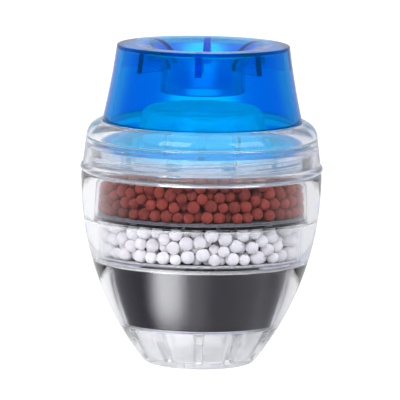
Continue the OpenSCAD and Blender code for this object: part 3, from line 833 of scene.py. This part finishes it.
class FILTER_OT_screens(FilterOperator, Operator):
    """Adds the wire screens and the fleece pads between the cups"""

    bl_idname = "filter.screens"
    bl_label = "Screens and pads"

    def build(self, context, s):
        wire = media_material("woven wire", colours(context).wire, 0.4, 4000.0, 0.6, 0.4)
        white = media_material("white mesh", colours(context).mesh, 0.8, 4000.0, 0.5, 0.1)
        fleece = media_material("grey fleece", colours(context).fleece, 0.95, 2500.0, 0.8, 1.0, 0.2)
        dusty = media_material("dusty fleece", colours(context).dusty, 0.95, 1800.0, 0.6, 0.7, 0.2)
        floor = s.cup_floor_t
        discs = [
            ("lower_screen", s.lower_z + floor, s.lower_floor_r, s.screen_t, white, "white_mesh"),
            ("middle_screen", s.middle_z + floor, s.middle_floor_r, s.screen_t, wire, "steel_mesh"),
            ("middle_pad", s.middle_z + floor + s.screen_t, s.middle_floor_r, s.pad_t, dusty, "grey_fleece"),
            ("upper_screen", s.upper_z + floor, s.upper_r, s.screen_t, wire, "steel_mesh"),
            ("upper_pad", s.upper_z + floor + s.screen_t, s.upper_r, s.pad_t, fleece, "grey_fleece"),
            ("inlet_pad", s.cover_z - s.screen_t - s.pad_t, s.upper_r, s.pad_t, fleece, "grey_fleece"),
            ("inlet_screen", s.cover_z - s.screen_t, s.upper_r, s.screen_t, white, "white_mesh"),
        ]
        for name, z, r, t, material, slot in discs:
            edge = r - s.media_gap
            soft = t * 0.3
            corners = [[0, z, 0], [edge, z, soft], [edge, z + t, soft], [0, z + t, 0]]
            points, faces = revolve(rounded(corners), round_angles(144))
            make_mesh(f"{name}_disc", points, faces, material, "housing", name)


class FILTER_OT_carbon(FilterOperator, Operator):
    """Adds the black carbon in the lower cup"""

    bl_idname = "filter.carbon"
    bl_label = "Carbon"

    def build(self, context, s):
        material = media_material("packed carbon", colours(context).carbon, 0.3, 600.0, 0.0, 0.0, 0.2)
        foot = s.lower_z + s.cup_floor_t + s.screen_t
        top = s.middle_z - s.carbon_head
        widen = s.lower_draft / (s.lower_ledge_z - s.lower_z - s.cup_floor_t)
        corners = [
            [0, foot, 0],
            [s.lower_floor_r - s.media_gap + widen * s.screen_t, foot, 0.15],
            [s.lower_rim_r - s.media_gap, s.lower_ledge_z, 0.3],
            [s.lower_rim_r - s.media_gap, top, 0.15],
            [0, top, 0],
        ]
        points, faces = revolve(rounded(corners), round_angles(192))
        make_mesh("carbon_fill", points, faces, material, "housing", "carbon_block")


class FILTER_OT_balls(FilterOperator, Operator):
    """Adds the packed clay balls and mineral balls"""

    bl_idname = "filter.balls"
    bl_label = "Ball beds"

    def build(self, context, s):
        clay = media_material("fired clay", colours(context).clay, 0.75, 2500.0, 0.35, 0.25, 0.35, True)
        mineral = media_material("white mineral", colours(context).mineral, 0.7, 2200.0, 0.3, 0.1, 0.4, True)
        rounds = 400
        pad_top = s.cup_floor_t + s.screen_t + s.pad_t
        self.bed(s, "clay_bed", s.clay_balls, s.clay_d, s.upper_z + pad_top,
                 s.cover_z - s.screen_t - s.pad_t, lambda z: np.full(np.shape(z), s.upper_r - s.media_gap),
                 s.upper_r - s.bed_w, clay, "red_clay", "clay_balls", 11, rounds, 0.6, 0.0)
        widen = s.middle_draft / (s.middle_ledge_z - s.middle_z - s.cup_floor_t)
        self.bed(s, "mineral_bed", s.mineral_balls, s.mineral_d, s.middle_z + pad_top, s.upper_z,
                 lambda z: np.minimum(s.middle_floor_r + widen * (z - s.middle_z - s.cup_floor_t),
                                      s.middle_rim_r) - s.media_gap,
                 s.middle_floor_r - s.bed_w, mineral, "white_mineral", "mineral_balls", 5, rounds, 0.92, 2.2)

    def bed(self, s, name, count, mean_d, floor_z, top_z, wall, core_r, material, slot, node, seed, rounds,
            darkest, core_out):
        """One bed of packed balls as a single mesh, with a tone for each ball, round a plain core."""
        place, radius = settle_balls(count, mean_d, floor_z, top_z, wall, core_r, seed, rounds)
        ball, quads = ball_shape()
        points = (place[:, None] + ball[None] * radius[:, None, None]).reshape(-1, 3)
        faces = (quads[None] + np.arange(count)[:, None, None] * len(ball)).reshape(-1, 4)
        mesh = bpy.data.meshes.new(name)
        mesh.from_pydata((points * MM).tolist(), [], faces.tolist())
        mesh.polygons.foreach_set("use_smooth", [True] * len(mesh.polygons))
        tone = mesh.attributes.new("tone", "FLOAT_COLOR", "POINT")
        rng = np.random.default_rng(seed + 1)
        shade = rng.uniform(darkest, 1.0, count)[:, None] * np.array([1, 1, 1])[None]
        shade[:, 1:] *= 1 - (1 - darkest) * rng.uniform(-0.12, 0.25, count)[:, None]
        rgba = np.concatenate([np.clip(shade, 0, 1), np.ones((count, 1))], axis=1)
        tone.data.foreach_set("color", np.repeat(rgba, len(ball), axis=0).astype(np.float32).ravel())
        mesh.materials.append(material)
        piece = bpy.data.objects.new(name, mesh)
        bpy.context.scene.collection.objects.link(piece)
        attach(piece, "housing")
        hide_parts(node)
        drawn_r = core_r + core_out
        core = np.array([[0, floor_z], [drawn_r, floor_z], [drawn_r, top_z], [0, top_z]])
        points, faces = revolve(core, round_angles(96))
        make_mesh(f"{name}_core", points, faces, material, "housing")


class FILTER_OT_inlet(FilterOperator, Operator):
    """Adds the inlet cover: a plate with a slotted dome and a notched wall"""

    bl_idname = "filter.inlet"
    bl_label = "Inlet cover"

    def build(self, context, s):
        material = milky_material(context)
        outer = s.upper_r + s.cup_wall
        corners = [[s.dome_foot_r - s.dome_wall, s.cover_z, 0], [outer, s.cover_z, 0.1], [outer, s.castle_z, 0.1],
                   [s.dome_foot_r - s.dome_wall, s.castle_z, 0]]
        points, faces = revolve(rounded(corners), round_angles(192))
        make_mesh("inlet_plate", points, faces, material, "housing", "inlet_cover")
        self.castle(s, material)
        self.dome(s, material)

    def castle(self, s, material):
        """The notched wall: a turned sheet without the cells of the notches."""
        pitch = 2 * math.pi / s.castle_count
        half = s.castle_w / 2 / s.upper_r
        levels = np.array([s.castle_z, s.castle_z + s.notch_h, s.flange_z])
        sheet = np.stack([np.full(3, s.upper_r), levels], axis=-1)
        angles = slot_angles(s.castle_count, pitch / 2, half, 9)

        def keep(angle, _radius, height):
            turn = (angle + pitch) % pitch - pitch / 2
            return (np.abs(turn) > half) | (height > s.castle_z + s.notch_h)

        points, faces = slotted_shell(sheet, angles, keep)
        make_mesh("inlet_wall", points, faces, material, "housing", thickness=s.castle_wall)

    def dome(self, s, material):
        """The dome: a straight draft from its foot, a rounded edge and a flat top, with slots in the draft."""
        pitch = 2 * math.pi / s.dome_slots
        half = s.dome_slot_w / 2 / s.dome_r
        low, high = s.castle_z + s.cover_t, s.castle_z + s.cover_t + s.dome_slot_h
        edge_z = s.dome_z - s.dome_edge_r
        lean = (s.dome_foot_r - s.dome_r) / (edge_z - s.castle_z)
        levels = np.array([s.castle_z, low, (low + high) / 2, high, edge_z])
        side = np.stack([s.dome_foot_r - lean * (levels - s.castle_z), levels], axis=-1)
        t = np.linspace(0, math.pi / 2, 7)[1:]
        edge = np.stack([s.dome_r - s.dome_edge_r * (1 - np.cos(t)), edge_z + s.dome_edge_r * np.sin(t)], axis=-1)
        sheet = np.concatenate([side, edge, [[0, s.dome_z]]])
        angles = slot_angles(s.dome_slots, 0, half, 9)

        def keep(angle, _radius, height):
            turn = (angle + pitch / 2) % pitch - pitch / 2
            return (np.abs(turn) > half) | (height < low) | (height > high)

        points, faces = slotted_shell(sheet, angles, keep)
        make_mesh("inlet_dome", points, faces, material, "housing", thickness=s.dome_wall)


class FILTER_OT_sleeve(FilterOperator, Operator):
    """Adds the soft blue sleeve with its bell mouth, inner tube and webs"""

    bl_idname = "filter.sleeve"
    bl_label = "Tap sleeve"

    def build(self, context, s):
        material = blue_material(context)
        top = np.array([s.rim_r, s.rim_z])
        mid = np.array([(s.rim_r + s.skirt_foot_r) / 2 - s.skirt_sag, (s.rim_z + s.cap_top_z) / 2])
        foot = np.array([s.skirt_foot_r, s.cap_top_z])
        lines = 2 * np.array([mid - top, foot - top])
        squares = np.array([mid @ mid - top @ top, foot @ foot - top @ top])
        centre = np.linalg.solve(lines, squares)
        curve_r = np.linalg.norm(top - centre)

        def skirt_r(z, wall):
            return centre[0] - np.sqrt((curve_r + wall) ** 2 - (z - centre[1]) ** 2)

        top_z = s.rim_z - s.mouth_wall
        under_r = s.bore_r + s.bore_wall
        bore_foot = s.rim_z - s.mouth_depth - s.bore_len
        outer_z = np.linspace(s.cap_top_z, s.rim_z - s.mouth_wall * 0.6, 24)
        inner_z = np.linspace(top_z - 0.5, s.cap_top_z, 24)
        bell = np.linspace(0, math.pi / 2, 20)
        bell_r = s.mouth_r - (s.mouth_r - s.bore_r) * np.sin(bell)
        bell_z = s.rim_z - s.mouth_depth * (1 - np.cos(bell))
        under = bell[::-1]
        under_x = s.mouth_r - (s.mouth_r - under_r) * np.sin(under)
        under_z = top_z - (s.mouth_depth - s.mouth_wall) * (1 - np.cos(under))
        corners = [[s.skirt_foot_r - s.skirt_wall, s.flange_z, 0.2], [s.flange_r, s.flange_z, 0.25],
                   [s.flange_r, s.cap_ledge_z, 0.45], [s.skirt_foot_r, s.cap_ledge_z, 0.15]]
        corners += [[r, z, 0] for r, z in zip(skirt_r(outer_z, 0), outer_z)]
        corners += [[s.rim_r, s.rim_z, 0.45]]
        corners += [[r, z, 0] for r, z in zip(bell_r, bell_z)]
        corners += [[s.bore_r, bore_foot, 0.3], [under_r, bore_foot, 0.3]]
        corners += [[r, z, 0] for r, z in zip(under_x, under_z)]
        corners += [[skirt_r(top_z, s.skirt_wall), top_z, 0.4]]
        corners += [[r, z, 0] for r, z in zip(skirt_r(inner_z, s.skirt_wall), inner_z)]
        points, faces = revolve(rounded(corners), round_angles(192))
        body = make_mesh("sleeve_body", points, faces, material, "sleeve", "tap_sleeve")
        body.data.materials.append(foot_material(context))
        middle = face_centres(body.data)
        reach = np.hypot(middle[:, 0], middle[:, 1])
        inward = np.clip((s.mouth_r - reach) / (s.mouth_r - s.bore_r), 0, 1)
        bell_height = s.rim_z - s.mouth_depth * (1 - np.sqrt(1 - inward**2))
        in_mouth = (reach < s.mouth_r + 1) & (middle[:, 2] > bell_height - 0.3)
        # painted light: the faces under the cap's top take the lighter foot tint
        body.data.polygons.foreach_set("material_index", (middle[:, 2] < s.cap_top_z).astype(np.int32))
        c = colours(context)
        # painted light: the bell mouth's faces get the paler tint in the skin attribute, the rest the plain sleeve
        # blue
        skin = np.where(in_mouth[:, None], np.array([*c.mouth_painted_light, 1]), np.array([*c.blue, 1]))
        body.data.attributes.new("skin", "FLOAT_COLOR", "FACE").data.foreach_set("color", skin.astype(np.float32).ravel())

        inner_r = under_r + s.web_inset
        drop = s.rim_z - s.web_outer_depth
        sink = 0.04
        t = np.linspace(math.asin((s.mouth_r - inner_r) / (s.mouth_r - under_r)), 0, 10)
        roof_r = s.mouth_r - (s.mouth_r - under_r) * np.sin(t)
        roof_z = top_z - (s.mouth_depth - s.mouth_wall) * (1 - np.cos(t)) + sink
        wall_z = np.linspace(top_z + sink, drop, 8)
        outline = [[inner_r, s.rim_z - s.web_inner_depth - 0.6, 0.2]]
        outline += [[r, z, 0] for r, z in zip(roof_r, roof_z)]
        outline += [[r, z, 0] for r, z in zip(skirt_r(wall_z, s.skirt_wall) + sink, wall_z)]
        angles = -math.pi / 2 + s.web_turn + np.arange(s.web_count) * 2 * math.pi / s.web_count
        points, faces = prism(rounded(outline), s.web_t, angles)
        webs = make_mesh("sleeve_webs", points, faces, web_shade_material(context), "sleeve")
        webs.data.materials.append(web_side_material(context))
        # painted shade: the narrow faces keep the deeper web tint, and the flat sides take the plain blue
        corners = np.empty(len(webs.data.polygons), np.int32)
        webs.data.polygons.foreach_get("loop_total", corners)
        webs.data.polygons.foreach_set("material_index", (corners > 4).astype(np.int32))


class FILTER_OT_stage(Operator):
    """Adds the floor, the studio light and the camera at the photograph's angle"""

    bl_idname = "filter.stage"
    bl_label = "Floor, light and camera"

    def execute(self, context):
        self.floor(context)
        self.sky(context)
        self.camera(context)
        scene = context.scene
        scene.view_settings.view_transform = "Standard"
        scene.cycles.max_bounces = 24
        scene.cycles.diffuse_bounces = 10
        scene.cycles.transmission_bounces = 24
        scene.cycles.glossy_bounces = 8
        scene.cycles.transparent_max_bounces = 32
        return {"FINISHED"}

    def floor(self, context):
        """A wide plain floor that looks plain white, and lights the filter as a light table with cards would.

        What the filter mirrors and refracts is the attribute glow. It starts from one level in front and one
        behind, and each patch changes it to its own level between two bearings and two distances, with soft edges.
        The bearing turns from 0 at the front to -90 at the left. The strip behind is measured across instead.
        """
        material, nodes, links, shader = fresh_material("floor")
        shader.inputs["Base Color"].default_value = (*colours(context).floor, 1)
        shader.inputs["Roughness"].default_value = 0.9
        shader.inputs["Emission Strength"].default_value = 1.0
        glow = nodes.new("ShaderNodeAttribute")
        glow.attribute_name = "glow"
        self.white_for_camera(nodes, links, glow.outputs["Color"], shader.inputs["Emission Color"])

        far = np.geomspace(75, 4000, 12)
        across = np.concatenate([-far[::-1], np.linspace(-63, 63, 85), far])
        along = np.concatenate([-far[::-1], np.linspace(-60, 470, 178), np.geomspace(500, 4000, 8)])
        x, y = np.meshgrid(across, along, indexing="ij")
        points = np.stack([x, y, np.zeros_like(x)], axis=-1).reshape(-1, 3)
        mesh = bpy.data.meshes.new("floor")
        mesh.from_pydata((points * MM).tolist(), [], grid_faces(*x.shape, False, False)[:, ::-1].tolist())

        def step(value, start, end):
            t = np.clip((value - start) / (end - start), 0, 1)
            return t * t * (3 - 2 * t)

        distance, bearing = np.hypot(x, y), np.degrees(np.arctan2(x, -y))
        level = 0.25 + (0.62 - 0.17 * step(x, -40, 40)) * step(y, -80, -10)
        patches = (
            ((-118, -45), 8, (18, 60), 4, 0.08),
            ((20, 60), 10, (18, 60), 4, 0.7),
            ((75, 118), 8, (18, 60), 4, 0.2),
            ((-14, 6), 12, (20, 48), 5, 2.0),
            ((-45, -17), 12, (25, 48), 5, 12.0),
        )
        for bearings, blur, distances, blend, value in patches:
            inside = step(bearing, bearings[0] - blur, bearings[0] + blur)
            inside *= 1 - step(bearing, bearings[1] - blur, bearings[1] + blur)
            inside *= step(distance, distances[0] - blend, distances[0] + blend)
            inside *= 1 - step(distance, distances[1] - blend, distances[1] + blend)
            level += (value - level) * inside
        lift = 0.9 + 0.7 * (1 - step(y, 345, 375)) + 0.9 * step(y, 405, 430)
        middle = (1 - step(np.abs(x), 10, 17))[..., None]
        strip = lift[..., None] * middle + np.array([0.05, 0.16, 0.85, 1]) * (1 - middle)
        inside = (step(y, 240, 270) * (1 - step(np.abs(x), 50, 110)))[..., None]
        light = level[..., None] * (1 - inside) + strip * inside
        mesh.attributes.new("glow", "FLOAT_COLOR", "POINT").data.foreach_set(
            "color", light.astype(np.float32).ravel())
        mesh.materials.append(material)
        floor = bpy.data.objects.new("floor", mesh)
        context.scene.collection.objects.link(floor)

    def white_for_camera(self, nodes, links, source, sink):
        """Joins a colour to a socket so that the camera itself sees plain white there."""
        path = nodes.new("ShaderNodeLightPath")
        choice = nodes.new("ShaderNodeMix")
        choice.data_type = "RGBA"
        choice.inputs["B"].default_value = (1.05, 1.05, 1.05, 1)
        links.new(path.outputs["Is Camera Ray"], choice.inputs["Factor"])
        links.new(source, choice.inputs["A"])
        links.new(choice.outputs["Result"], sink)

    def sky(self, context):
        """Studio surroundings: dim in front, bright behind, neutral on the left and lavender on the right."""
        world = bpy.data.worlds.new("studio")
        context.scene.world = world
        world.use_nodes = True
        nodes, links = world.node_tree.nodes, world.node_tree.links
        place = nodes.new("ShaderNodeTexCoord")
        split = nodes.new("ShaderNodeSeparateXYZ")
        links.new(place.outputs["Generated"], split.inputs["Vector"])
        tint = self.blend(nodes, links, split.outputs["X"], -0.6, 0.8, colours(context).left_sky,
                          colours(context).right_sky)
        dim = self.blend(nodes, links, split.outputs["Y"], -0.3, 0.4, (0.65,) * 3, (1.05,) * 3)
        light = nodes.new("ShaderNodeMix")
        light.data_type = "RGBA"
        light.blend_type = "MULTIPLY"
        light.inputs["Factor"].default_value = 1.0
        links.new(tint, light.inputs["A"])
        links.new(dim, light.inputs["B"])
        self.white_for_camera(nodes, links, light.outputs["Result"], nodes["Background"].inputs["Color"])

        for name, place_m, size, energy in (
            ("key", (-0.4, -0.7, 0.6), 0.5, 4.0),
            ("fill", (0.6, -0.5, 0.5), 0.5, 3.0),
            ("top", (0.1, 0.2, 0.9), 0.7, 1.0),
        ):
            lamp = bpy.data.lights.new(name, "AREA")
            lamp.shape = "SQUARE"
            lamp.size = size
            lamp.energy = energy
            piece = bpy.data.objects.new(name, lamp)
            piece.location = place_m
            aim = Matrix.Translation((0, 0, 0.03)).translation - piece.location
            piece.rotation_euler = aim.to_track_quat("-Z", "Y").to_euler()
            context.scene.collection.objects.link(piece)

    def blend(self, nodes, links, value, start, end, colour_a, colour_b):
        """A colour that goes from one to another while a value goes from start to end."""
        span = nodes.new("ShaderNodeMapRange")
        span.inputs["From Min"].default_value = start
        span.inputs["From Max"].default_value = end
        mix = nodes.new("ShaderNodeMix")
        mix.data_type = "RGBA"
        mix.inputs["A"].default_value = (*colour_a, 1)
        mix.inputs["B"].default_value = (*colour_b, 1)
        links.new(value, span.inputs["Value"])
        links.new(span.outputs["Result"], mix.inputs["Factor"])
        return mix.outputs["Result"]

    def camera(self, context):
        """The photograph's camera: 0.83 m away, 8.2 degrees above level, turned a little in its own plane."""
        lens_px, frame_px, sensor = 4312.6, 400.0, 36.0
        pitch = math.radians(8.21) + (200 - 203.27) / lens_px
        yaw = (201.07 - 200) / lens_px
        roll = 0.0157
        camera = bpy.data.cameras.new("camera")
        camera.sensor_width = sensor
        camera.lens = lens_px / frame_px * sensor
        camera.clip_start = 0.05
        piece = bpy.data.objects.new("camera", camera)
        turn = Euler((math.pi / 2 - pitch, 0, yaw), "XYZ").to_matrix() @ Matrix.Rotation(roll, 3, "Z")
        piece.matrix_world = Matrix.Translation((0, -0.829, 0.1506)) @ turn.to_4x4()
        context.scene.collection.objects.link(piece)
        context.scene.camera = piece


PIECES = (
    FILTER_OT_bowl,
    FILTER_OT_cap,
    FILTER_OT_cups,
    FILTER_OT_screens,
    FILTER_OT_carbon,
    FILTER_OT_balls,
    FILTER_OT_inlet,
    FILTER_OT_sleeve,
    FILTER_OT_stage,
)


class FILTER_PT_panel(Panel):
    """Lists the pieces of the filter"""

    bl_idname = "FILTER_PT_panel"
    bl_label = "Tap water filter"
    bl_space_type = "VIEW_3D"
    bl_region_type = "UI"
    bl_category = "Tap filter"

    def draw(self, context):
        for piece in PIECES:
            self.layout.operator(piece.bl_idname)
        for key in FilterColours.__annotations__:
            self.layout.prop(context.scene.filter_colours, key)
        for key in FilterSizes.__annotations__:
            self.layout.prop(context.scene.filter_sizes, key)


CLASSES = (FilterSizes, FilterColours, *PIECES, FILTER_PT_panel)


def register():
    for cls in CLASSES:
        bpy.utils.register_class(cls)
    bpy.types.Scene.filter_sizes = PointerProperty(type=FilterSizes)
    bpy.types.Scene.filter_colours = PointerProperty(type=FilterColours)


def unregister():
    del bpy.types.Scene.filter_colours
    del bpy.types.Scene.filter_sizes
    for cls in reversed(CLASSES):
        bpy.utils.unregister_class(cls)


def main():
    """Builds every piece in order."""
    register()
    for piece in PIECES:
        group, name = piece.bl_idname.split(".")
        getattr(getattr(bpy.ops, group), name)()


if __name__ == "__main__":
    main()
